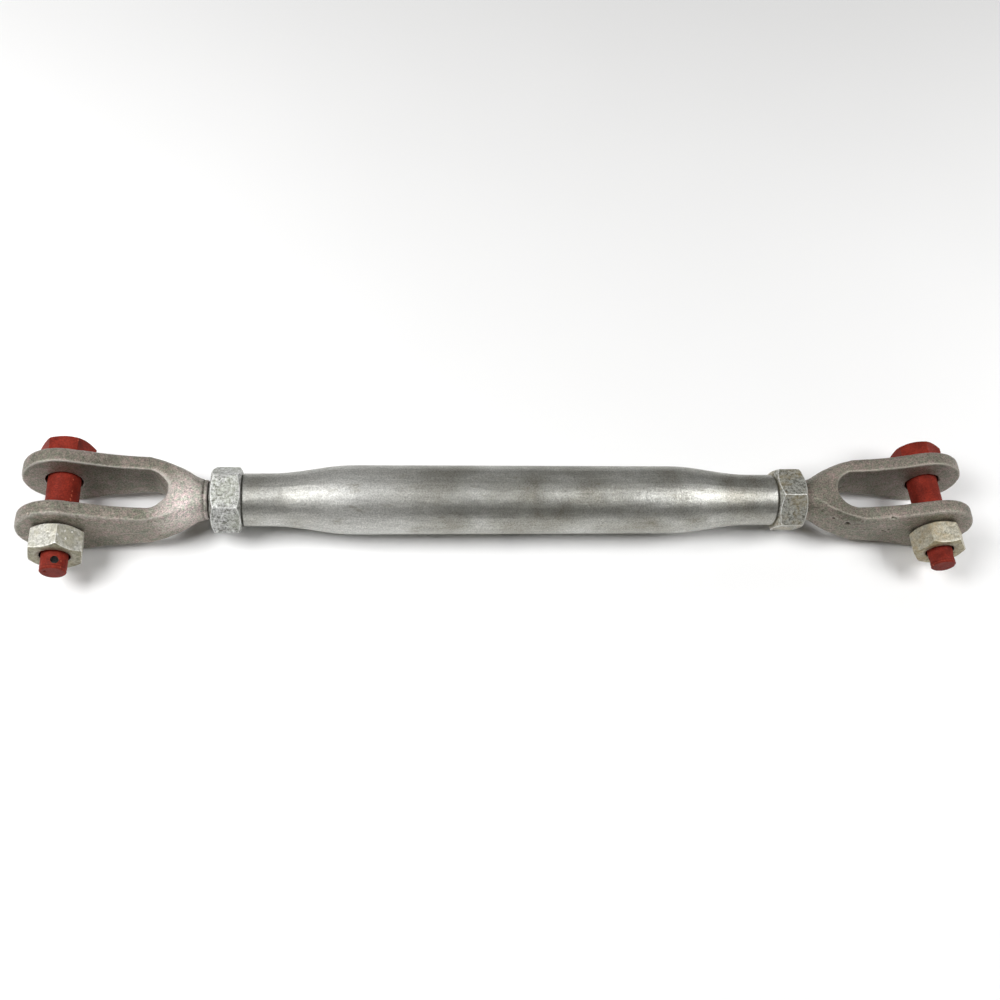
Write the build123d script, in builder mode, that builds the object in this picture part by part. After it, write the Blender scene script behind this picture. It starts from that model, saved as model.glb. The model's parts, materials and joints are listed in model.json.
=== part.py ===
"""Rigging turnbuckle: a swaged tube body between two threaded jaws, each with a lock nut and a bolt.

Millimetres. The origin is on the left jaw's pin axis, midway between its ears. +X runs along the
body to the right jaw, the pins lie along Y with the bolt heads at +Y, and +Z is up.
The turnbuckle is drawn fully closed. Threads are plain cylinders at their major diameter.
"""

from build123d import *
from math import cos, radians, sin, tan
import os

# Body: DN40 pipe, swaged down at both ends and tapped M27 x 3, right hand and left hand.
TUBE_R = 24.15
TUBE_WALL = 5.0
TUBE_LENGTH = 376.4
SWAGE_R = 18.2
SWAGE_LENGTH = 18.0
TAPER_LENGTH = 59.0
TAPPED_LENGTH = 36.0
TUBE_END_CHAMFER = 1.0
BAR_HOLE_R = 7.5
BAR_HOLE_ANGLE = 220.0

# Screws: plain shanks at the M27 major diameter.
SCREW_R = 13.5
SCREW_LENGTH = 198.0
SCREW_CHAMFER = 2.0
RUNNING_CLEARANCE = 0.05

# Jaws.
EAR_R = 27.9
EAR_OUTER_Y = 25.7
GAP_HALF = 14.0
PIN_HOLE_R = 12.0
SLOT_DEPTH = 73.0
CUT_MARGIN = 2.0
ARM_START_ANGLE = 73.0
ARM_LINE = [(20.0, 23.3), (32.0, 20.1), (44.0, 18.1), (56.0, 16.8)]
SHOULDER_START = 54.0
SHOULDER = [(66.0, 24.6), (75.0, 21.7), (85.0, 17.5)]
SHOULDER_ROUND = [(60.0, 28.9), (72.0, 25.2), (84.0, 19.5)]
NECK_R = 14.4
NECK_SLOPE = (1, -0.12)
COLLAR_R = 13.9
COLLAR_LENGTH = 2.4
JAW_LENGTH = 97.5
OUTER_EDGE = 2.5
SLOT_EDGE = 1.4

# Lock nuts: M27 hexagon nuts, each seated on its end of the body.
LOCK_NUT_FLATS = 41.5
LOCK_NUT_LENGTH = 20.8
SEAT_CLEARANCE = 0.1
LEFT_NUT_GAP = 1.6
RIGHT_NUT_GAP = 0.9
LEFT_LOCK_NUT_TURN = 12.3
RIGHT_LOCK_NUT_TURN = 49.1

# Both kinds of nut: where the corners are turned off, as a part of the width across flats.
CHAMFER_CIRCLE = 0.95
NUT_COUNTERSINK = 1.4

# Pin bolts: M22 hexagon bolts with a drilled dog point, and their nuts.
BOLT_R = 11.0
BOLT_HEAD_FLATS = 32.5
BOLT_HEAD_LENGTH = 15.5
GRIP_SHORT_OF_NUT = 0.5
BOLT_THREAD_R = 10.8
BOLT_THREAD_LENGTH = 12.5
BOLT_POINT_R = 8.8
BOLT_LENGTH = 80.3
BOLT_POINT_CHAMFER = 1.0
SPLIT_HOLE_R = 2.5
SPLIT_HOLE_FROM_TIP = 5.8
BOLT_NUT_FLATS = 34.0
BOLT_NUT_LENGTH = 17.9
LEFT_HEAD_TURN = 1.0
RIGHT_HEAD_TURN = 33.0
LEFT_SPLIT_HOLE_TILT = 16.0
RIGHT_SPLIT_HOLE_TILT = 60.0
LEFT_BOLT_NUT_TURN = 18.0
RIGHT_BOLT_NUT_TURN = 5.5

# Places worked out from the sizes above.
HEAD_SEAT_Y = EAR_OUTER_Y + SEAT_CLEARANCE
BOLT_GRIP = 2 * HEAD_SEAT_Y - GRIP_SHORT_OF_NUT
BODY_START = JAW_LENGTH + LEFT_NUT_GAP + LOCK_NUT_LENGTH + SEAT_CLEARANCE
BODY_MIDDLE = BODY_START + TUBE_LENGTH / 2
BODY_END = BODY_START + TUBE_LENGTH
RIGHT_PIN_X = BODY_END + SEAT_CLEARANCE + LOCK_NUT_LENGTH + RIGHT_NUT_GAP + JAW_LENGTH


def save(part, name):
    """Label a finished piece and write its STEP file."""
    part.label = name
    export_step(part, f"parts/{name}.step")


def make_body_tube():
    """Pipe with two swaged, tapped ends and one bar hole through one wall at mid length."""
    half = TUBE_LENGTH / 2
    taper_end = half - SWAGE_LENGTH
    taper_start = taper_end - TAPER_LENGTH
    tapped_end = half - TAPPED_LENGTH
    bore_r = SCREW_R + RUNNING_CLEARANCE
    pipe_bore_r = TUBE_R - TUBE_WALL
    level = ((1, 0), (1, 0))
    hole_direction = (0, cos(radians(BAR_HOLE_ANGLE)), sin(radians(BAR_HOLE_ANGLE)))
    with BuildPart() as tube:
        with BuildSketch(Plane((BODY_MIDDLE, 0, 0), x_dir=(1, 0, 0), z_dir=(0, -1, 0))):
            with BuildLine():
                Line((0, TUBE_R), (taper_start, TUBE_R))
                Spline((taper_start, TUBE_R), (taper_end, SWAGE_R), tangents=level)
                Polyline(
                    (taper_end, SWAGE_R),
                    (half - TUBE_END_CHAMFER, SWAGE_R),
                    (half, SWAGE_R - TUBE_END_CHAMFER),
                    (half, bore_r),
                    (tapped_end, bore_r),
                )
                Spline((taper_start, pipe_bore_r), (tapped_end, bore_r), tangents=level)
                Polyline((taper_start, pipe_bore_r), (0, pipe_bore_r), (0, TUBE_R))
            make_face()
        revolve(axis=Axis((BODY_MIDDLE, 0, 0), (1, 0, 0)))
        mirror(about=Plane((BODY_MIDDLE, 0, 0), x_dir=(0, 1, 0), z_dir=(1, 0, 0)))
        with BuildSketch(Plane((BODY_MIDDLE, 0, 0), x_dir=(1, 0, 0), z_dir=hole_direction)):
            Circle(BAR_HOLE_R)
        extrude(amount=2 * TUBE_R, mode=Mode.SUBTRACT)
    return tube.part


def make_jaw(pin_x, toward):
    """Forged fork, its neck pointing along +X when toward is 1 and along -X when it is -1."""
    side = Plane((pin_x, 0, 0), x_dir=(toward, 0, 0), z_dir=(0, -toward, 0))
    plan = Plane((pin_x, 0, 0), x_dir=(toward, 0, 0), z_dir=(0, 0, toward))
    neck = Plane((pin_x, 0, 0), x_dir=(0, 1, 0), z_dir=(toward, 0, 0))
    neck_end = JAW_LENGTH - COLLAR_LENGTH
    arm_start = (EAR_R * cos(radians(ARM_START_ANGLE)), EAR_R * sin(radians(ARM_START_ANGLE)))
    with BuildPart() as jaw:
        # Side view: a round eye whose rim runs smoothly into arms that taper to the neck.
        with BuildSketch(side):
            with BuildLine():
                upper = Spline(
                    arm_start,
                    *ARM_LINE,
                    (neck_end, NECK_R),
                    tangents=((arm_start[1], -arm_start[0]), NECK_SLOPE),
                )
                mirror(upper, about=Plane.XZ)
                Line((neck_end, NECK_R), (neck_end, -NECK_R))
                ThreePointArc(arm_start, (-EAR_R, 0), (arm_start[0], -arm_start[1]))
            make_face()
        extrude(amount=EAR_OUTER_Y, both=True)
        rim = jaw.faces().filter_by(Axis.Y).edges().filter_by(Axis.Z, reverse=True)
        fillet(rim, OUTER_EDGE)
        # The slot ends in a half circle.
        with BuildSketch(plan):
            with Locations((-EAR_R - CUT_MARGIN, 0)):
                Rectangle(
                    EAR_R + CUT_MARGIN + SLOT_DEPTH - GAP_HALF,
                    2 * GAP_HALF,
                    align=(Align.MIN, Align.CENTER),
                )
            with Locations((SLOT_DEPTH - GAP_HALF, 0)):
                Circle(GAP_HALF)
        extrude(amount=EAR_R + CUT_MARGIN, both=True, mode=Mode.SUBTRACT)
        slot_edges = jaw.edges().filter_by(
            lambda edge: abs(edge.center().Y) < GAP_HALF + 0.1 and abs(edge.center().Z) > NECK_R / 2
        )
        fillet(slot_edges, SLOT_EDGE)
        # Plan view: parallel ears, then shoulders that close in to the neck.
        with BuildSketch(plan):
            with BuildLine():
                Polyline(
                    (neck_end, NECK_R),
                    (neck_end, 0),
                    (-EAR_R - CUT_MARGIN, 0),
                    (-EAR_R - CUT_MARGIN, EAR_OUTER_Y),
                    (SHOULDER_START, EAR_OUTER_Y),
                )
                Spline(
                    (SHOULDER_START, EAR_OUTER_Y),
                    *SHOULDER,
                    (neck_end, NECK_R),
                    tangents=((1, 0), NECK_SLOPE),
                )
            make_face()
            mirror(about=Plane.XZ)
        extrude(amount=EAR_R + CUT_MARGIN, both=True, mode=Mode.INTERSECT)
        # The shoulders are rounded off into the round neck.
        with BuildSketch(side):
            with BuildLine():
                Polyline(
                    (neck_end, NECK_R),
                    (neck_end, 0),
                    (-EAR_R - CUT_MARGIN, 0),
                    (-EAR_R - CUT_MARGIN, 2 * EAR_R),
                    (EAR_R, 2 * EAR_R),
                    SHOULDER_ROUND[0],
                )
                Spline(
                    *SHOULDER_ROUND,
                    (neck_end, NECK_R),
                    tangents=((1, -0.2), NECK_SLOPE),
                )
            make_face()
        revolve(axis=Axis((pin_x, 0, 0), (toward, 0, 0)), mode=Mode.INTERSECT)
        # Turned collar at the neck end, and the pin hole through both ears.
        with BuildSketch(neck.offset(neck_end)):
            Circle(COLLAR_R)
        extrude(amount=COLLAR_LENGTH)
        with BuildSketch(side):
            Circle(PIN_HOLE_R)
        extrude(amount=EAR_OUTER_Y + CUT_MARGIN, both=True, mode=Mode.SUBTRACT)
    return jaw.part


def make_screw(start_x, toward):
    """Screw that the jaw carries into the body."""
    with BuildPart() as screw:
        with BuildSketch(Plane((start_x, 0, 0), x_dir=(0, 1, 0), z_dir=(toward, 0, 0))):
            Circle(SCREW_R)
        extrude(amount=SCREW_LENGTH)
        chamfer(screw.edges().sort_by(Axis.X)[-1 if toward > 0 else 0], SCREW_CHAMFER)
    return screw.part


def make_hexagon(plane, flats, length, turn, chamfer_near_end=True):
    """Hexagonal prism along the plane's normal, its corners turned off at 30 degrees."""
    corner_r = flats / 3**0.5
    flat_r = CHAMFER_CIRCLE * flats / 2
    drop = (corner_r - flat_r) * tan(radians(30))
    near_r = flat_r if chamfer_near_end else corner_r
    with BuildPart() as hexagon:
        with BuildSketch(plane):
            RegularPolygon(flats / 2, 6, major_radius=False, rotation=turn)
        extrude(amount=length)
        with BuildSketch(Plane(plane.origin, x_dir=plane.x_dir, z_dir=-plane.y_dir)):
            with BuildLine():
                Polyline(
                    (0, 0),
                    (near_r, 0),
                    (corner_r, drop),
                    (corner_r, length - drop),
                    (flat_r, length),
                    (0, length),
                    close=True,
                )
            make_face()
        revolve(axis=Axis(plane.origin, plane.z_dir), mode=Mode.INTERSECT)
    return hexagon.part


def make_nut(plane, flats, length, thread_r, turn):
    """Hexagon nut, countersunk at both ends, its bore a running fit on its thread."""
    bore_r = thread_r + RUNNING_CLEARANCE
    with BuildPart() as nut:
        add(make_hexagon(plane, flats, length, turn))
        with BuildSketch(plane):
            Circle(bore_r)
        extrude(amount=length, mode=Mode.SUBTRACT)
        rims = nut.edges().filter_by(GeomType.CIRCLE)
        chamfer(rims.filter_by(lambda edge: abs(edge.radius - bore_r) < 0.01), NUT_COUNTERSINK)
    return nut.part


def make_bolt(pin_x, head_turn, hole_tilt):
    """Hexagon bolt whose reduced point carries a hole for a split pin, tilted from +Z to +X."""
    head = Plane((pin_x, HEAD_SEAT_Y, 0), x_dir=(1, 0, 0), z_dir=(0, 1, 0))
    thread_end = BOLT_GRIP + BOLT_THREAD_LENGTH
    across = (sin(radians(hole_tilt)), 0, cos(radians(hole_tilt)))
    hole_y = HEAD_SEAT_Y - BOLT_LENGTH + SPLIT_HOLE_FROM_TIP
    with BuildPart() as bolt:
        add(make_hexagon(head, BOLT_HEAD_FLATS, BOLT_HEAD_LENGTH, head_turn, False))
        with BuildSketch(Plane((pin_x, HEAD_SEAT_Y, 0), x_dir=(1, 0, 0), z_dir=(0, 0, 1))):
            with BuildLine():
                Polyline(
                    (0, BOLT_HEAD_LENGTH / 2),
                    (BOLT_R, BOLT_HEAD_LENGTH / 2),
                    (BOLT_R, -BOLT_GRIP),
                    (BOLT_THREAD_R, -BOLT_GRIP),
                    (BOLT_THREAD_R, -thread_end),
                    (BOLT_POINT_R, -thread_end - BOLT_THREAD_R + BOLT_POINT_R),
                    (BOLT_POINT_R, -BOLT_LENGTH + BOLT_POINT_CHAMFER),
                    (BOLT_POINT_R - BOLT_POINT_CHAMFER, -BOLT_LENGTH),
                    (0, -BOLT_LENGTH),
                    close=True,
                )
            make_face()
        revolve(axis=Axis((pin_x, 0, 0), (0, 1, 0)))
        with BuildSketch(Plane((pin_x, hole_y, 0), x_dir=(0, 1, 0), z_dir=across)):
            Circle(SPLIT_HOLE_R)
        extrude(amount=BOLT_R, both=True, mode=Mode.SUBTRACT)
    return bolt.part


def save_jaw_set(name, pin_x, toward, head_turn, hole_tilt, nut_turn):
    """One end of the turnbuckle: its jaw and screw, and the bolt and nut through its ears."""
    nut_seat = Plane((pin_x, -HEAD_SEAT_Y, 0), x_dir=(1, 0, 0), z_dir=(0, -1, 0))
    save(make_jaw(pin_x, toward), f"{name}_jaw")
    save(make_screw(pin_x + toward * JAW_LENGTH, toward), f"{name}_screw")
    save(make_bolt(pin_x, head_turn, hole_tilt), f"{name}_bolt")
    save(
        make_nut(nut_seat, BOLT_NUT_FLATS, BOLT_NUT_LENGTH, BOLT_THREAD_R, nut_turn),
        f"{name}_bolt_nut",
    )


def make_lock_nut(face_x, away, turn):
    """Lock nut on the body's end face, reaching away from the body."""
    seat = Plane((face_x + away * SEAT_CLEARANCE, 0, 0), x_dir=(0, away, 0), z_dir=(away, 0, 0))
    return make_nut(seat, LOCK_NUT_FLATS, LOCK_NUT_LENGTH, SCREW_R, away * turn)


os.makedirs("parts", exist_ok=True)
save(make_body_tube(), "body_tube")
save_jaw_set("left", 0, 1, LEFT_HEAD_TURN, LEFT_SPLIT_HOLE_TILT, LEFT_BOLT_NUT_TURN)
save_jaw_set(
    "right", RIGHT_PIN_X, -1, RIGHT_HEAD_TURN, RIGHT_SPLIT_HOLE_TILT, RIGHT_BOLT_NUT_TURN
)
save(make_lock_nut(BODY_START, -1, LEFT_LOCK_NUT_TURN), "left_lock_nut")
save(make_lock_nut(BODY_END, 1, RIGHT_LOCK_NUT_TURN), "right_lock_nut")
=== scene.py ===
"""Looks of the rigging turnbuckle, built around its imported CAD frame.

The jaws and nuts are remade as finer, worn meshes of their CAD shape, and the screws and bolts get real
helical threads. The body tube keeps its CAD mesh. Every surface gets a procedural material.
"""

import json
import math
import random

import bmesh
import bpy
from mathutils import Matrix, Vector, noise
from mathutils.kdtree import KDTree

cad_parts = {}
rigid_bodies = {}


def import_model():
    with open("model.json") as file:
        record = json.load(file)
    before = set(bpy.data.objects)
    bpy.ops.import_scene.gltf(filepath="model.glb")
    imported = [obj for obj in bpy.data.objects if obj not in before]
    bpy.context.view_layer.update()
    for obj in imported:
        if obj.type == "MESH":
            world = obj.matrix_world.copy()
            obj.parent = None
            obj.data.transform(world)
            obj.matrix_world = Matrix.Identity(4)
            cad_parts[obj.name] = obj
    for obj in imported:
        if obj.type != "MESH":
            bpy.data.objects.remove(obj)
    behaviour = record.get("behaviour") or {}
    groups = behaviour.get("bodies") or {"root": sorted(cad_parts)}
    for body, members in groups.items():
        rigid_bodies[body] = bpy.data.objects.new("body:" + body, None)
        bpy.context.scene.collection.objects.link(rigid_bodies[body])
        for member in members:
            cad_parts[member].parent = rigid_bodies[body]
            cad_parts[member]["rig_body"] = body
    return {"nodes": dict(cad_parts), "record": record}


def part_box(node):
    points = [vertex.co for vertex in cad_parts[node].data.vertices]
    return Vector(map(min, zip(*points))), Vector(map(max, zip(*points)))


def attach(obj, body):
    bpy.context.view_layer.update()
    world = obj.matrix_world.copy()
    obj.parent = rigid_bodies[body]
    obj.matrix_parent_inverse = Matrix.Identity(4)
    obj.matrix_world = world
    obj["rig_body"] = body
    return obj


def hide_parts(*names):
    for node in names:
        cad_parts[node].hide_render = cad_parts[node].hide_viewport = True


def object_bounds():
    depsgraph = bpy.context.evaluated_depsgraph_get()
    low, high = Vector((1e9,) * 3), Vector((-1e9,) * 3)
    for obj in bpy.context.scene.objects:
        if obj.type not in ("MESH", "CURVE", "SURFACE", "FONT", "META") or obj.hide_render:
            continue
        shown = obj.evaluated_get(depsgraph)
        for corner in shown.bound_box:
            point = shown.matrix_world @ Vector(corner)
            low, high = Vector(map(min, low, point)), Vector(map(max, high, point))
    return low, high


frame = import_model()
cad_low, cad_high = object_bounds()

MM = 0.001
X_AXIS = Vector((1, 0, 0))
Y_AXIS = Vector((0, 1, 0))
Z_AXIS = Vector((0, 0, 1))

# Jaws: x runs from the pin towards the body.
SLOT_CENTRE_X = 59 * MM
SLOT_R = 14 * MM
SLOT_HALF_WALL = 13 * MM
SLOT_DRAFT = 2.0 * MM
NECK_X = 93 * MM
GROOVE_X = 94.6 * MM
GROOVE_R = 0.6 * MM
FLASH_FROM_X = 8 * MM
FLASH_HEIGHT = 0.30 * MM
FLASH_R = 0.9 * MM

# Nuts: the radius of each bore, and the lip in the mouth of a bolt nut.
LOCK_BORE_R = 13.5 * MM
BOLT_BORE_R = 10.8 * MM
BORE_CLEARANCE = 0.35 * MM
LIP_DEPTH = 3.2 * MM
LIP_REACH = 1.5 * MM
LIP_HEIGHT = 1.15 * MM

# Jaw screws.
SCREW_PITCH = 3 * MM
RELIEF_LENGTH = 1.6 * MM
RELIEF_DEPTH = 2.0 * MM
SCREW_CHAMFER = 2.2 * MM

# Bolts: y runs along them, and their tips are at -Y.
BOLT_PITCH = 2.5 * MM
BOLT_THREAD_R = 10.8 * MM
BOLT_CORE_R = 9.4 * MM
BOLT_POINT_R = 8.8 * MM
BOLT_THREAD_FROM_Y = -25.3 * MM
BOLT_THREAD_TO_Y = -37.8 * MM
RING_FROM_TIP = 2.2 * MM
SPLIT_HOLE_FROM_TIP = 5.8 * MM
SPLIT_HOLE_REACH = 3.4 * MM

# Sockets of a Mix node in its colour mode.
MIX_FACTOR, MIX_FIRST, MIX_SECOND, MIX_RESULT = 0, 6, 7, 2


# ---------------------------------------------------------------- shader helpers


def new_material(name):
    """A material with only a Principled shader and its output, and the shader itself."""
    material = bpy.data.materials.new(name)
    material.use_nodes = True
    shader = material.node_tree.nodes["Principled BSDF"]
    return material, shader


def add_node(material, kind, **inputs):
    """Add a node and set its named inputs, with spaces written as underscores."""
    node = material.node_tree.nodes.new(kind)
    for name, value in inputs.items():
        node.inputs[name.replace("_", " ")].default_value = value
    return node


def link(material, source, target):
    material.node_tree.links.new(source, target)


def object_position(material, stretch=(1, 1, 1)):
    """Position on the object in metres, scaled along each axis."""
    place = add_node(material, "ShaderNodeTexCoord")
    mapping = add_node(material, "ShaderNodeMapping")
    mapping.inputs["Scale"].default_value = stretch
    link(material, place.outputs["Object"], mapping.inputs["Vector"])
    return mapping.outputs["Vector"]


def noise_texture(material, vector, scale, detail=4.0, roughness=0.6):
    """Noise from 0 to 1, with about scale lumps to a metre."""
    texture = add_node(
        material, "ShaderNodeTexNoise", Scale=scale, Detail=detail, Roughness=roughness
    )
    link(material, vector, texture.inputs["Vector"])
    return texture.outputs["Fac"]


def ramp(material, factor, stops):
    """Colour ramp through (position, colour) stops."""
    node = add_node(material, "ShaderNodeValToRGB")
    elements = node.color_ramp.elements
    for element, (position, colour) in zip(elements, stops[:2]):
        element.position = position
        element.color = (*colour, 1)
    for position, colour in stops[2:]:
        elements.new(position).color = (*colour, 1)
    link(material, factor, node.inputs["Fac"])
    return node.outputs["Color"]


def mix(material, factor, first, second, blend="MIX"):
    """Mix two colours by a factor. Each of the three is a node's output or a plain value."""
    node = add_node(material, "ShaderNodeMix")
    node.data_type = "RGBA"
    node.blend_type = blend
    for index, value in ((MIX_FACTOR, factor), (MIX_FIRST, first), (MIX_SECOND, second)):
        socket = node.inputs[index]
        if hasattr(value, "links"):
            link(material, value, socket)
        elif isinstance(value, tuple):
            socket.default_value = (*value, 1)
        else:
            socket.default_value = value
    return node.outputs[MIX_RESULT]


def grey(value):
    return (value, value, value)


def bump(material, shader, layers):
    """Stack (height, strength, distance in metres) layers of bump onto the shader's normal."""
    normal = None
    for height, strength, distance in layers:
        node = add_node(material, "ShaderNodeBump", Strength=strength, Distance=distance)
        link(material, height, node.inputs["Height"])
        if normal:
            link(material, normal, node.inputs["Normal"])
        normal = node.outputs["Normal"]
    link(material, normal, shader.inputs["Normal"])


def near_point(material, centre, radius, stretch=(1, 1, 1)):
    """1 at a point of the object and 0 from radius metres away, after stretching the axes."""
    distance = add_node(material, "ShaderNodeVectorMath")
    distance.operation = "DISTANCE"
    link(material, object_position(material, stretch), distance.inputs[0])
    distance.inputs[1].default_value = [part * scale for part, scale in zip(centre, stretch)]
    return ramp(material, distance.outputs["Value"], [(0.0, grey(1)), (radius, grey(0))])


def edge_wear(material, off, full):
    """0 at one pointiness of the mesh and 1 at another: above 0.5 for edges, below for hollows."""
    pointiness = add_node(material, "ShaderNodeNewGeometry").outputs["Pointiness"]
    stops = [(off, grey(0)), (full, grey(1))]
    return ramp(material, pointiness, sorted(stops, key=lambda stop: stop[0]))


# ---------------------------------------------------------------- materials


def make_tube_zinc():
    """Satin galvanised pipe: cloudy, with a fine crystal grain, drawn streaks and a whiter, bloomed
    patch that is partly painted highlight.
    """
    material, shader = new_material("tube_zinc")
    place = object_position(material)
    clouds = noise_texture(material, place, 30, 4, 0.55)
    ripples = noise_texture(material, object_position(material, (0.7, 1, 1)), 85, 3, 0.5)
    streaks = noise_texture(material, object_position(material, (0.10, 1, 1)), 420, 5)
    crystals = noise_texture(material, place, 950, 4, 0.75)
    stains = noise_texture(material, object_position(material, (0.4, 1, 1)), 150, 5, 0.7)
    base = ramp(material, clouds, [(0.34, (0.34, 0.330, 0.285)), (0.66, (0.60, 0.602, 0.568))])
    # A duller, rougher bloomed patch near one point; its paler colour is partly a painted highlight.
    bloom_and_painted_highlight = near_point(material, (0.190, -0.006, 0.022), 0.080)
    base = mix(material, bloom_and_painted_highlight, base, (0.66, 0.66, 0.635))
    streak_tone = ramp(material, streaks, [(0.35, grey(0.82)), (0.65, grey(1.0))])
    base = mix(material, 1.0, base, streak_tone, "MULTIPLY")
    crystal_tone = ramp(material, crystals, [(0.36, grey(0.66)), (0.62, grey(1.16))])
    base = mix(material, 1.0, base, crystal_tone, "MULTIPLY")
    stain_mask = ramp(material, stains, [(0.58, grey(0)), (0.74, grey(0.6))])
    base = mix(material, stain_mask, base, (0.20, 0.178, 0.125))
    link(material, base, shader.inputs["Base Color"])
    link(material, mix(material, bloom_and_painted_highlight, grey(0.94), grey(0.74)), shader.inputs["Metallic"])
    rough = ramp(material, crystals, [(0.35, grey(0.50)), (0.65, grey(0.35))])
    rough = mix(material, bloom_and_painted_highlight, rough, grey(0.48))
    link(material, rough, shader.inputs["Roughness"])
    bump(material, shader, [(clouds, 0.22, 0.006), (ripples, 0.16, 0.0025), (crystals, 0.36, 0.0006)])
    return material


def make_forging_zinc(name, wear_and_highlight_tone, painted_light_tone, painted_light_place):
    """Rough galvanised forging: warm grey, faintly pink and green, dark hollows, worn edges partly
    painted highlight, and a patch of painted light.
    """
    material, shader = new_material(name)
    place = object_position(material)
    clouds = noise_texture(material, place, 40, 5)
    patches = noise_texture(material, object_position(material, (1, 1.3, 1.7)), 75, 3)
    grain = noise_texture(material, place, 900, 4, 0.8)
    flecks = noise_texture(material, place, 330, 3, 0.7)
    base = ramp(material, clouds, [(0.32, (0.160, 0.154, 0.122)), (0.68, (0.290, 0.266, 0.226))])
    pink = ramp(material, patches, [(0.48, grey(0)), (0.68, grey(0.6))])
    base = mix(material, pink, base, (0.32, 0.26, 0.235))
    # A patch near one point painted to its tone: a painted highlight on the left jaw and painted shade
    # on the right jaw.
    painted_light_patch = near_point(material, painted_light_place, 0.026, (1, 0.9, 0.8))
    base = mix(material, painted_light_patch, base, painted_light_tone)
    fleck_tone = ramp(material, flecks, [(0.38, (0.84, 0.93, 0.84)), (0.62, (1.20, 1.06, 1.10))])
    base = mix(material, 1.0, base, fleck_tone, "MULTIPLY")
    grain_tone = ramp(material, grain, [(0.34, grey(0.42)), (0.64, grey(1.50))])
    base = mix(material, 1.0, base, grain_tone, "MULTIPLY")
    hollow = edge_wear(material, 0.488, 0.46)
    base = mix(material, hollow, base, (0.045, 0.038, 0.026))
    # Pale edges: worn zinc, partly painted highlight.
    worn = edge_wear(material, 0.508, 0.545)
    base = mix(material, worn, base, wear_and_highlight_tone)
    link(material, base, shader.inputs["Base Color"])
    shader.inputs["Metallic"].default_value = 0.55
    rough = ramp(material, grain, [(0.3, grey(0.60)), (0.7, grey(0.40))])
    link(material, rough, shader.inputs["Roughness"])
    bump(material, shader, [(clouds, 0.2, 0.004), (grain, 0.55, 0.0007)])
    return material


def make_nut_zinc(name, dark, light, tint, tinted, end_tone, edge_wear_and_highlight_tone, wear_and_highlight_from):
    """Crusty galvanised nut: mottled, with tinted patches and bright corners that are worn zinc and
    partly painted highlight.

    end_tone darkens the faces that look along Y, which are a bolt nut's end faces.
    """
    material, shader = new_material(name)
    place = object_position(material)
    clouds = noise_texture(material, place, 75, 4, 0.7)
    mottle = noise_texture(material, place, 520, 5, 0.75)
    base = ramp(material, mottle, [(0.38, dark), (0.60, light)])
    tint_mask = ramp(material, clouds, [(0.46, grey(0)), (0.62, grey(tinted))])
    base = mix(material, tint_mask, base, tint)
    facing = add_node(material, "ShaderNodeSeparateXYZ")
    link(material, add_node(material, "ShaderNodeTexCoord").outputs["Normal"], facing.inputs[0])
    along_y = add_node(material, "ShaderNodeMath")
    along_y.operation = "ABSOLUTE"
    link(material, facing.outputs["Y"], along_y.inputs[0])
    end_mask = ramp(material, along_y.outputs[0], [(0.25, grey(0)), (0.80, grey(1))])
    base = mix(material, 1.0, base, mix(material, end_mask, grey(1.0), end_tone), "MULTIPLY")
    hollow = edge_wear(material, 1 - wear_and_highlight_from, 0.965 - wear_and_highlight_from)
    base = mix(material, hollow, base, (0.030, 0.025, 0.014))
    # Pale corners and edges: worn zinc, partly painted highlight.
    worn = edge_wear(material, wear_and_highlight_from, wear_and_highlight_from + 0.03)
    base = mix(material, worn, base, edge_wear_and_highlight_tone)
    link(material, base, shader.inputs["Base Color"])
    shader.inputs["Metallic"].default_value = 0.6
    rough = ramp(material, mottle, [(0.35, grey(0.55)), (0.65, grey(0.30))])
    link(material, rough, shader.inputs["Roughness"])
    bump(material, shader, [(clouds, 0.15, 0.002), (mottle, 0.5, 0.0008)])
    return material


def make_thread_zinc():
    """Screw thread: darker, oily zinc."""
    material, shader = new_material("thread_zinc")
    place = object_position(material)
    grain = noise_texture(material, place, 500, 4)
    base = ramp(material, grain, [(0.3, (0.14, 0.135, 0.115)), (0.7, (0.38, 0.38, 0.35))])
    link(material, base, shader.inputs["Base Color"])
    shader.inputs["Metallic"].default_value = 0.85
    shader.inputs["Roughness"].default_value = 0.36
    bump(material, shader, [(grain, 0.15, 0.0003)])
    return material


def make_painted_hole_shade():
    """Painted shade for the insides of drilled and tapped holes: nearly black."""
    material, shader = new_material("painted_hole_shade")
    grain = noise_texture(material, object_position(material), 600, 3)
    base = ramp(material, grain, [(0.35, (0.010, 0.008, 0.006)), (0.7, (0.032, 0.027, 0.022))])
    link(material, base, shader.inputs["Base Color"])
    shader.inputs["Roughness"].default_value = 0.6
    return material


def make_red_paint():
    """Brick-red primer on the bolts: chalky, uneven, worn paler along the edges."""
    material, shader = new_material("red_paint")
    place = object_position(material)
    clouds = noise_texture(material, place, 85, 4, 0.65)
    grain = noise_texture(material, place, 900, 4, 0.75)
    base = ramp(material, clouds, [(0.34, (0.135, 0.0125, 0.0062)), (0.66, (0.25, 0.026, 0.014))])
    grain_tone = ramp(material, grain, [(0.34, grey(0.62)), (0.64, grey(1.30))])
    base = mix(material, 1.0, base, grain_tone, "MULTIPLY")
    hollow = edge_wear(material, 0.485, 0.45)
    base = mix(material, hollow, base, (0.035, 0.006, 0.004))
    worn = edge_wear(material, 0.52, 0.58)
    base = mix(material, worn, base, (0.42, 0.085, 0.045))
    link(material, base, shader.inputs["Base Color"])
    shader.inputs["Roughness"].default_value = 0.62
    shader.inputs["Specular IOR Level"].default_value = 0.16
    bump(material, shader, [(clouds, 0.15, 0.001), (grain, 0.35, 0.0004)])
    return material


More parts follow.
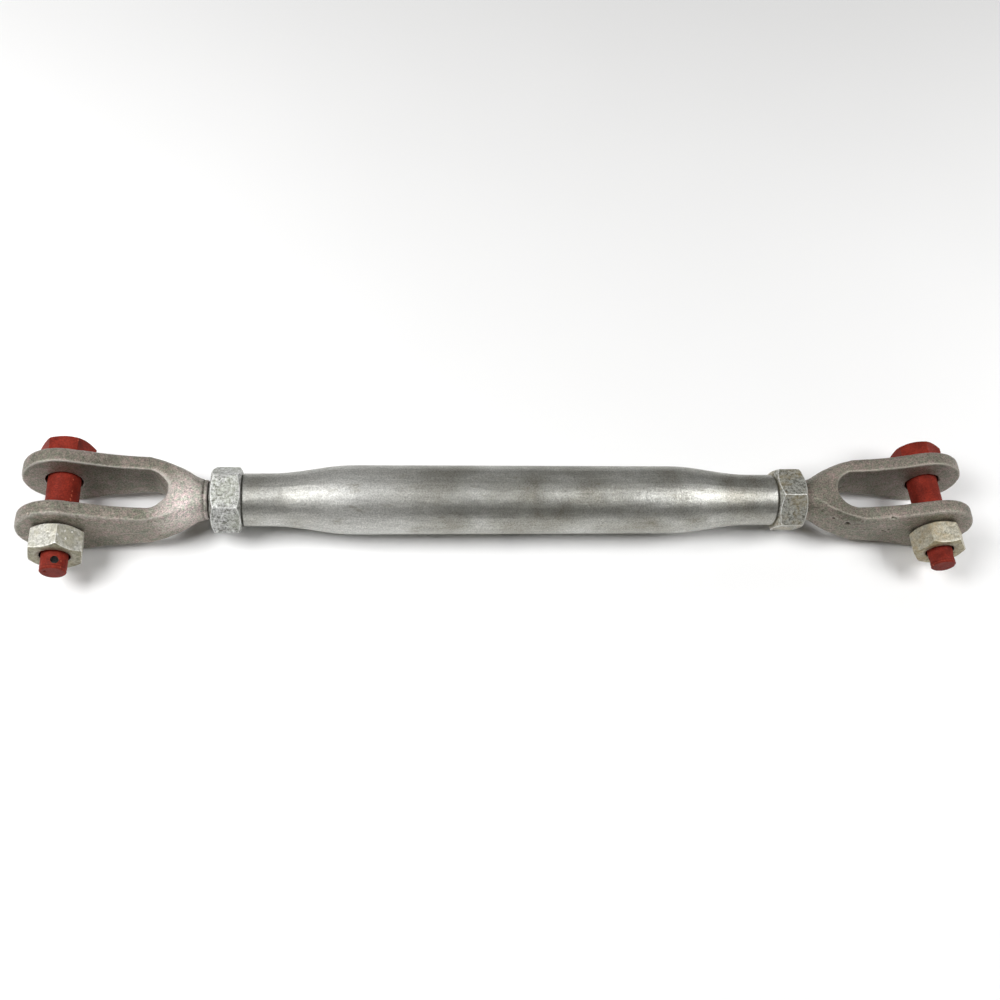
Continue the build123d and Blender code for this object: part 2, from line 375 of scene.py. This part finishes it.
def make_floor_paint():
    """Matt off-white studio floor."""
    material, shader = new_material("floor_paint")
    grain = noise_texture(material, object_position(material), 3, 2)
    base = ramp(material, grain, [(0.3, grey(0.93)), (0.7, grey(0.95))])
    link(material, base, shader.inputs["Base Color"])
    shader.inputs["Roughness"].default_value = 0.8
    return material


# ---------------------------------------------------------------- geometry helpers


def link_object(name, mesh):
    piece = bpy.data.objects.new(name, mesh)
    bpy.context.scene.collection.objects.link(piece)
    return piece


def apply_modifiers(piece):
    """Bake the piece's modifiers into its mesh."""
    graph = bpy.context.evaluated_depsgraph_get()
    mesh = bpy.data.meshes.new_from_object(piece.evaluated_get(graph))
    piece.modifiers.clear()
    piece.data = mesh


def shade_smooth(mesh):
    mesh.polygons.foreach_set("use_smooth", [True] * len(mesh.polygons))


def fit_piece(piece, node_name, look):
    """Give the piece its material and let it stand for a CAD node, on that node's body."""
    piece.data.materials.clear()
    piece.data.materials.append(look)
    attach(piece, frame["nodes"][node_name]["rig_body"])
    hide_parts(node_name)


def copy_node(node_name, piece_name):
    """A free copy of a CAD node, with its doubled vertices merged."""
    mesh = frame["nodes"][node_name].data.copy()
    work = bmesh.new()
    work.from_mesh(mesh)
    bmesh.ops.remove_doubles(work, verts=work.verts, dist=1e-6)
    work.to_mesh(mesh)
    work.free()
    return link_object(piece_name, mesh)


def remesh(piece, voxel, smooth_passes):
    """Even quads over the whole piece, with its edges slightly rounded."""
    voxels = piece.modifiers.new("voxels", "REMESH")
    voxels.mode = "VOXEL"
    voxels.voxel_size = voxel
    smooth = piece.modifiers.new("smooth", "SMOOTH")
    smooth.factor = 0.5
    smooth.iterations = smooth_passes
    apply_modifiers(piece)
    shade_smooth(piece.data)


def roughen(piece, layers, seed):
    """Sink the surface by noise. Each layer is (depth, size of its lumps)."""
    shift = Vector((0.37, 0.73, 0.11)) * seed
    normals = [vertex.normal.copy() for vertex in piece.data.vertices]
    for vertex, normal in zip(piece.data.vertices, normals):
        depth = 0.0
        for layer_depth, lump in layers:
            depth += layer_depth * 0.5 * (1 + noise.noise(vertex.co / lump + shift))
        vertex.co -= normal * depth


def dent(piece, places, seed, count=0, near=None, radius=(0.8, 2.2), depth=(0.15, 0.4)):
    """Press small pits into the surface, at the given (point, radius, depth) places and at random.

    A negative depth raises a spot. near(point) says where the random pits may be.
    """
    draw = random.Random(seed)
    vertices = piece.data.vertices
    tree = KDTree(len(vertices))
    for vertex in vertices:
        tree.insert(vertex.co, vertex.index)
    tree.balance()
    normals = [vertex.normal.copy() for vertex in vertices]
    pits = list(places)
    while len(pits) < len(places) + count:
        pick = draw.randrange(len(vertices))
        size, sink = draw.uniform(*radius) * MM, draw.uniform(*depth) * MM
        if near is None or near(vertices[pick].co):
            pits.append((vertices[pick].co.copy(), size, sink))
    for place, size, sink in pits:
        for _, index, distance in tree.find_range(place, size):
            vertices[index].co -= normals[index] * sink * (1 - (distance / size) ** 2) ** 2


def frame_along(start, direction):
    """Matrix that carries local +Z from the origin to direction from start."""
    turn = Vector(direction).to_track_quat("Z", "Y").to_matrix().to_4x4()
    return Matrix.Translation(start) @ turn


def thread_mesh(name, major_r, pitch, length, hand, envelope):
    """Closed ISO-profile helical thread along local +Z, its radius held under envelope(z).

    hand is 1 for a right-hand thread and -1 for a left-hand one.
    """
    sections = 72
    minor_r = major_r - 0.6134 * pitch
    # Rails of the helix: the two edges of the crest and the two edges of the root.
    rails = [(-1 / 16, major_r), (1 / 16, major_r), (3 / 8, minor_r), (5 / 8, minor_r)]
    spare_turns = 2
    turns = math.ceil(length / pitch) + 2 * spare_turns
    steps = turns * sections
    work = bmesh.new()
    rows = []
    for step in range(steps + 1):
        angle = hand * 2 * math.pi * step / sections
        row = []
        for fraction, radius in rails:
            z = pitch * (step / sections + fraction - spare_turns)
            radius = min(radius, envelope(min(max(z, 0), length)))
            row.append(work.verts.new((radius * math.cos(angle), radius * math.sin(angle), z)))
        rows.append(row)
    for step in range(steps):
        here, there = rows[step], rows[step + 1]
        for rail in range(3):
            work.faces.new((here[rail], there[rail], there[rail + 1], here[rail + 1]))
        if step + 1 + sections <= steps:
            up_here, up_there = rows[step + sections], rows[step + 1 + sections]
            work.faces.new((here[3], there[3], up_there[0], up_here[0]))
    for height, side in ((0, -1), (length, 1)):
        everything = work.verts[:] + work.edges[:] + work.faces[:]
        bmesh.ops.bisect_plane(
            work, geom=everything, plane_co=(0, 0, height), plane_no=(0, 0, side), clear_outer=True
        )
    open_edges = [edge for edge in work.edges if edge.is_boundary]
    caps = bmesh.ops.holes_fill(work, edges=open_edges)["faces"]
    bmesh.ops.triangulate(work, faces=caps)
    bmesh.ops.recalc_face_normals(work, faces=work.faces[:])
    mesh = bpy.data.meshes.new(name)
    work.to_mesh(mesh)
    work.free()
    return mesh


# ---------------------------------------------------------------- pieces


def make_jaw(node_name, look, pin_x, toward, slot_fill, groove, creases, marks, seed):
    """Forged jaw: even mesh of the CAD shape with a flash line, a rough skin and forging marks.

    toward is the sign of X from the pin to the body, slot_fill how far the slot's end is filled, groove
    the depth of the groove at the collar, and creases how many deeper pits the near shoulder has. Each
    mark is (along the jaw from the pin, across, up, radius, depth) in millimetres.
    """
    jaw = copy_node(node_name, node_name + "_forging")
    remesh(jaw, voxel=0.75 * MM, smooth_passes=11)
    normals = [vertex.normal.copy() for vertex in jaw.data.vertices]
    for vertex, normal in zip(jaw.data.vertices, normals):
        x, y, z = (vertex.co.x - pin_x) * toward, vertex.co.y, vertex.co.z
        from_centre = math.hypot(x - SLOT_CENTRE_X, y)
        on_slot_end = x > SLOT_CENTRE_X and abs(from_centre - SLOT_R) < 1.2 * MM
        on_outside = abs(normal.y) > 0.45 and abs(y) > SLOT_R + 1 * MM
        if on_slot_end:
            # Forging draft of the slot's end wall, which also fills the slot's end a little.
            turned = (x - SLOT_CENTRE_X) / from_centre
            draft = SLOT_DRAFT * max(0, 1 - abs(z) / SLOT_HALF_WALL)
            inward = Vector(((SLOT_CENTRE_X - x) * toward, -y, 0)) / from_centre
            vertex.co += inward * (draft + slot_fill) * min(1, 1.6 * turned)
        elif on_outside and FLASH_FROM_X < x < NECK_X:
            # Trimmed parting line along the outside of both arms.
            wander = 0.5 * MM * math.sin(x / (9 * MM) + seed)
            raised = math.exp(-((z - wander) / FLASH_R) ** 2)
            fade = min(1, (x - FLASH_FROM_X) / (40 * MM), (NECK_X - x) / (6 * MM))
            vertex.co += normal * FLASH_HEIGHT * raised * fade
        elif x > NECK_X and abs(normal.x) < 0.9:
            # Groove that sets the turned collar off from the rough neck.
            vertex.co -= normal * groove * math.exp(-((x - GROOVE_X) / GROOVE_R) ** 2)
    roughen(jaw, [(0.45 * MM, 16 * MM), (0.22 * MM, 4 * MM), (0.10 * MM, 1.5 * MM)], seed)
    places = []
    for x, y, z, size, sink in marks:
        places.append((Vector((pin_x + toward * x * MM, y * MM, z * MM)), size * MM, sink * MM))
    dent(jaw, places, seed, count=110)

    def on_near_shoulder(place):
        along = (place.x - pin_x) * toward
        return 52 * MM < along < 92 * MM and place.y < -9 * MM and 4 * MM < place.z < 14 * MM

    dent(jaw, [], seed, creases, on_near_shoulder, radius=(1.8, 3.4), depth=(0.3, 0.7))
    fit_piece(jaw, node_name, look)


def paint_hole_shade(piece, centre, axis, reach):
    """Give the painted shade to the faces that look in at the axis of a hole through centre."""
    piece.data.materials.append(painted_hole_shade)
    for face in piece.data.polygons:
        outward = face.center - centre
        outward -= axis * outward.dot(axis)
        if outward.length < reach and face.normal.dot(outward) < -0.75 * outward.length:
            face.material_index = 1


def make_nut(node_name, look, axis, bore_r, seed):
    """Galvanised nut: rounded corners, a lumpy zinc skin and a bore clear of the screw's crests.

    A bolt nut, on a Y axis, has its first thread showing as a lip around the bolt's reduced point.
    """
    nut = copy_node(node_name, node_name + "_cast_zinc")
    low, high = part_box(node_name)
    middle = (low + high) / 2
    remesh(nut, voxel=0.45 * MM, smooth_passes=2)
    normals = [vertex.normal.copy() for vertex in nut.data.vertices]
    for vertex, normal in zip(nut.data.vertices, normals):
        outward = vertex.co - middle
        outward -= axis * outward.dot(axis)
        at_mouth = axis == Y_AXIS and vertex.co.y < low.y + LIP_DEPTH
        if at_mouth and outward.length < bore_r + LIP_REACH:
            lip = LIP_HEIGHT * min(1, (bore_r + LIP_REACH - outward.length) / (1.2 * MM))
            vertex.co -= outward.normalized() * lip
        elif normal.dot(outward) < -0.7 * outward.length:
            vertex.co += outward.normalized() * BORE_CLEARANCE
    roughen(nut, [(0.25 * MM, 8 * MM), (0.16 * MM, 2.2 * MM)], seed)
    dent(nut, [], seed, count=60, radius=(0.6, 1.6), depth=(0.08, 0.25))
    fit_piece(nut, node_name, look)
    # The bore's wall gets painted shade, nearly black.
    paint_hole_shade(nut, middle, axis, bore_r + 0.7 * MM)


def make_screw(node_name, direction, hand):
    """Jaw screw with a relief groove behind its collar and a chamfered tip.

    direction is the sign of X from the collar to the tip.
    """
    low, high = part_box(node_name)
    length = high.x - low.x
    start = low.x if direction > 0 else high.x
    major_r = (high.z - low.z) / 2
    relief_r = major_r - RELIEF_DEPTH

    def envelope(z):
        if z < RELIEF_LENGTH:
            return relief_r
        run_out = relief_r + (z - RELIEF_LENGTH) * 1.7
        return min(run_out, major_r, major_r - SCREW_CHAMFER + (length - z))

    mesh = thread_mesh(node_name + "_thread", major_r, SCREW_PITCH, length, hand, envelope)
    mesh.transform(frame_along((start, 0, 0), X_AXIS * direction))
    screw = link_object(node_name + "_thread", mesh)
    fit_piece(screw, node_name, thread_zinc)


def make_bolt(node_name, hole_tilt, marks, seed):
    """Painted bolt: the CAD shape with a helical thread in place of its plain one, softened.

    hole_tilt is the split-pin hole's angle from +Z towards +X in degrees. Each mark on the tip's face is
    (across, up, radius, depth) in millimetres.
    """
    bolt = copy_node(node_name, node_name + "_painted")
    low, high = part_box(node_name)
    axis_x = (low.x + high.x) / 2
    for vertex in bolt.data.vertices:
        # The plain thread shrinks to the core that the helical one is wound on.
        x, y, z = vertex.co.x - axis_x, vertex.co.y, vertex.co.z
        radius = math.hypot(x, z)
        in_thread = BOLT_THREAD_TO_Y - 0.1 * MM < y < BOLT_THREAD_FROM_Y + 0.1 * MM
        if in_thread and abs(radius - BOLT_THREAD_R) < 0.02 * MM:
            vertex.co.x = axis_x + x * BOLT_CORE_R / radius
            vertex.co.z = z * BOLT_CORE_R / radius
    length = BOLT_THREAD_FROM_Y - BOLT_THREAD_TO_Y + (BOLT_THREAD_R - BOLT_POINT_R)

    def envelope(z):
        run_out = BOLT_CORE_R - 0.2 * MM + z * 1.5
        return min(BOLT_THREAD_R, run_out, BOLT_POINT_R + (length - z))

    mesh = thread_mesh(node_name + "_thread", BOLT_THREAD_R, BOLT_PITCH, length, 1, envelope)
    mesh.transform(frame_along((axis_x, BOLT_THREAD_FROM_Y, 0), -Y_AXIS))
    work = bmesh.new()
    work.from_mesh(bolt.data)
    work.from_mesh(mesh)
    work.to_mesh(bolt.data)
    work.free()
    bpy.data.meshes.remove(mesh)
    remesh(bolt, voxel=0.38 * MM, smooth_passes=2)
    for vertex in bolt.data.vertices:
        # Turned ring just short of the tip.
        x, z, from_tip = vertex.co.x - axis_x, vertex.co.z, vertex.co.y - low.y
        if from_tip < 4 * MM and math.hypot(x, z) > BOLT_POINT_R - 0.6 * MM:
            sink = 0.35 * MM * math.exp(-((from_tip - RING_FROM_TIP) / (0.5 * MM)) ** 2)
            vertex.co -= Vector((x, 0, z)).normalized() * sink
    roughen(bolt, [(0.12 * MM, 6 * MM), (0.10 * MM, 1.6 * MM)], seed)
    places = []
    for x, z, size, sink in marks:
        places.append((Vector((axis_x + x * MM, low.y, z * MM)), size * MM, sink * MM))
    dent(bolt, places, seed, count=50, radius=(0.6, 1.5), depth=(0.06, 0.2))
    fit_piece(bolt, node_name, red_paint)
    # The split-pin hole's wall gets painted shade, nearly black.
    tilt = math.radians(hole_tilt)
    across = Vector((math.sin(tilt), 0, math.cos(tilt)))
    hole_centre = Vector((axis_x, low.y + SPLIT_HOLE_FROM_TIP, 0))
    paint_hole_shade(bolt, hole_centre, across, SPLIT_HOLE_REACH)


# ---------------------------------------------------------------- stage


def make_floor():
    """Square floor, 6 m across, that the turnbuckle rests on."""
    half = 3.0
    mesh = bpy.data.meshes.new("floor")
    corners = [(-half, -half, 0), (half, -half, 0), (half, half, 0), (-half, half, 0)]
    mesh.from_pydata(corners, [], [(0, 1, 2, 3)])
    floor = link_object("floor", mesh)
    floor.location = ((cad_low.x + cad_high.x) / 2, 0, cad_low.z)
    mesh.materials.append(make_floor_paint())


def make_camera():
    """Camera above the near side, rolled so that the turnbuckle lies level in the picture."""
    heading, dip, roll = math.radians(14.58), math.radians(60.6), math.radians(12.77)
    place = Vector((195.4, -394.1, 722.4)) * MM
    level_ahead = Vector((math.sin(heading), math.cos(heading), 0))
    ahead = level_ahead * math.cos(dip) - Z_AXIS * math.sin(dip)
    level = ahead.cross(Z_AXIS).normalized()
    right = Matrix.Rotation(-roll, 3, ahead) @ level
    up = right.cross(ahead)
    camera = bpy.data.objects.new("camera", bpy.data.cameras.new("camera"))
    bpy.context.scene.collection.objects.link(camera)
    camera.data.lens = 42.25
    camera.data.sensor_width = 36.0
    turn = Matrix((right, up, -ahead)).transposed().to_4x4()
    camera.matrix_world = Matrix.Translation(place) @ turn
    bpy.context.scene.camera = camera


def add_light(name, place, size, power):
    """White soft box that faces straight down. A new lamp already does."""
    data = bpy.data.lights.new(name, "AREA")
    data.shape = "RECTANGLE"
    data.size, data.size_y = size
    data.energy = power
    light = bpy.data.objects.new(name, data)
    bpy.context.scene.collection.objects.link(light)
    light.location = place


def make_light():
    """Plain studio light: a soft box above each end of the turnbuckle and one behind, in a dim room."""
    world = bpy.data.worlds.new("studio")
    world.use_nodes = True
    background = world.node_tree.nodes["Background"]
    background.inputs["Color"].default_value = (1.0, 0.97, 0.88, 1)
    background.inputs["Strength"].default_value = 0.055
    bpy.context.scene.world = world
    bpy.context.scene.view_settings.view_transform = "Standard"
    for name, x, y, power in (("left_box", -0.75, -0.13, 26), ("right_box", 1.50, -0.26, 21)):
        add_light(name, (x, y, 1.15), (1.0, 0.7), power)
    add_light("back_box", (0.5, 2.4, 1.8), (3.6, 1.2), 12)


make_camera()
make_floor()
make_light()

tube_zinc = make_tube_zinc()
left_forging = make_forging_zinc(
    "left_forging_zinc",
    wear_and_highlight_tone=(0.52, 0.49, 0.45),
    # A painted highlight on the left jaw.
    painted_light_tone=(0.85, 0.78, 0.75),
    painted_light_place=(0.083, -0.012, 0.017),
)
right_forging = make_forging_zinc(
    "right_forging_zinc",
    wear_and_highlight_tone=(0.42, 0.39, 0.34),
    # Painted shade on the right jaw.
    painted_light_tone=(0.17, 0.16, 0.13),
    painted_light_place=(0.548, -0.022, 0.012),
)
left_lock_zinc = make_nut_zinc(
    "left_lock_zinc",
    dark=(0.12, 0.12, 0.105),
    light=(0.62, 0.625, 0.61),
    tint=(0.34, 0.36, 0.28),
    tinted=0.4,
    end_tone=grey(1.0),
    edge_wear_and_highlight_tone=(0.80, 0.80, 0.78),
    wear_and_highlight_from=0.510,
)
right_lock_zinc = make_nut_zinc(
    "right_lock_zinc",
    dark=(0.10, 0.098, 0.078),
    light=(0.58, 0.58, 0.53),
    tint=(0.36, 0.28, 0.13),
    tinted=0.5,
    end_tone=grey(1.0),
    edge_wear_and_highlight_tone=(0.95, 0.95, 0.92),
    wear_and_highlight_from=0.510,
)
left_bolt_nut_zinc = make_nut_zinc(
    "left_bolt_nut_zinc",
    dark=(0.36, 0.352, 0.30),
    light=(0.73, 0.72, 0.67),
    tint=(0.46, 0.43, 0.28),
    tinted=0.5,
    end_tone=(0.50, 0.48, 0.39),
    edge_wear_and_highlight_tone=(0.98, 0.97, 0.93),
    wear_and_highlight_from=0.516,
)
right_bolt_nut_zinc = make_nut_zinc(
    "right_bolt_nut_zinc",
    dark=(0.32, 0.302, 0.235),
    light=(0.71, 0.68, 0.57),
    tint=(0.50, 0.38, 0.20),
    tinted=0.6,
    end_tone=(0.58, 0.54, 0.43),
    edge_wear_and_highlight_tone=(0.66, 0.62, 0.50),
    wear_and_highlight_from=0.535,
)
thread_zinc = make_thread_zinc()
painted_hole_shade = make_painted_hole_shade()
red_paint = make_red_paint()

for slot in frame["nodes"]["body_tube"].material_slots:
    slot.material = tube_zinc

LEFT_MARKS = [
    (5, 19, 25, 1.5, 0.5),
    (-9, 20, 24, 1.4, 0.5),
    (62, -24, 9, 2.2, 0.3),
]
RIGHT_MARKS = [
    (38.9, -24.5, 18.2, 2.0, 1.2),
    (36.9, -24.7, 17.6, 1.4, 0.9),
    (39.2, -25.7, -0.3, 1.9, 0.9),
    (36.6, -25.7, -1.8, 1.5, 0.8),
    (35.3, -25.7, 1.2, 1.5, 0.8),
    (33.5, -25.7, -2.5, 1.2, 0.6),
    (45.1, -17.4, 18.2, 0.9, 0.5),
    (45.3, -18.9, 18.2, 0.9, 0.5),
    (45.7, -20.4, 18.2, 0.9, 0.5),
    (59.9, -24.5, 13.5, 1.6, 0.7),
    (57.0, -24.8, 14.5, 1.2, 0.5),
    (69.4, -22.5, 8.3, 1.5, 0.6),
]
# A curl of trimmed flash on the far ear's inner face: raised spots in a row.
FLASH_CURL = [(61.2 - 0.2 * step, 13.4, -12 + 0.65 * step, 1.2, -0.95) for step in range(21)]

pins_x = {mount["name"]: mount["pos_m"][0] for mount in frame["record"]["mounts"]}
make_jaw(
    "left_jaw",
    left_forging,
    pins_x["left_pin"],
    toward=1,
    slot_fill=2.0 * MM,
    groove=0.6 * MM,
    creases=0,
    marks=LEFT_MARKS,
    seed=1,
)
make_jaw(
    "right_jaw",
    right_forging,
    pins_x["right_pin"],
    toward=-1,
    slot_fill=0,
    groove=0,
    creases=16,
    marks=RIGHT_MARKS + FLASH_CURL,
    seed=2,
)
make_nut("left_lock_nut", left_lock_zinc, X_AXIS, LOCK_BORE_R, seed=3)
make_nut("right_lock_nut", right_lock_zinc, X_AXIS, LOCK_BORE_R, seed=4)
make_nut("left_bolt_nut", left_bolt_nut_zinc, Y_AXIS, BOLT_BORE_R, seed=5)
make_nut("right_bolt_nut", right_bolt_nut_zinc, Y_AXIS, BOLT_BORE_R, seed=6)
make_screw("left_screw", direction=1, hand=1)
make_screw("right_screw", direction=-1, hand=-1)
make_bolt("left_bolt", hole_tilt=16, marks=[(-4.3, 2.4, 1.5, 1.0)], seed=7)
make_bolt("right_bolt", hole_tilt=60, marks=[], seed=8)
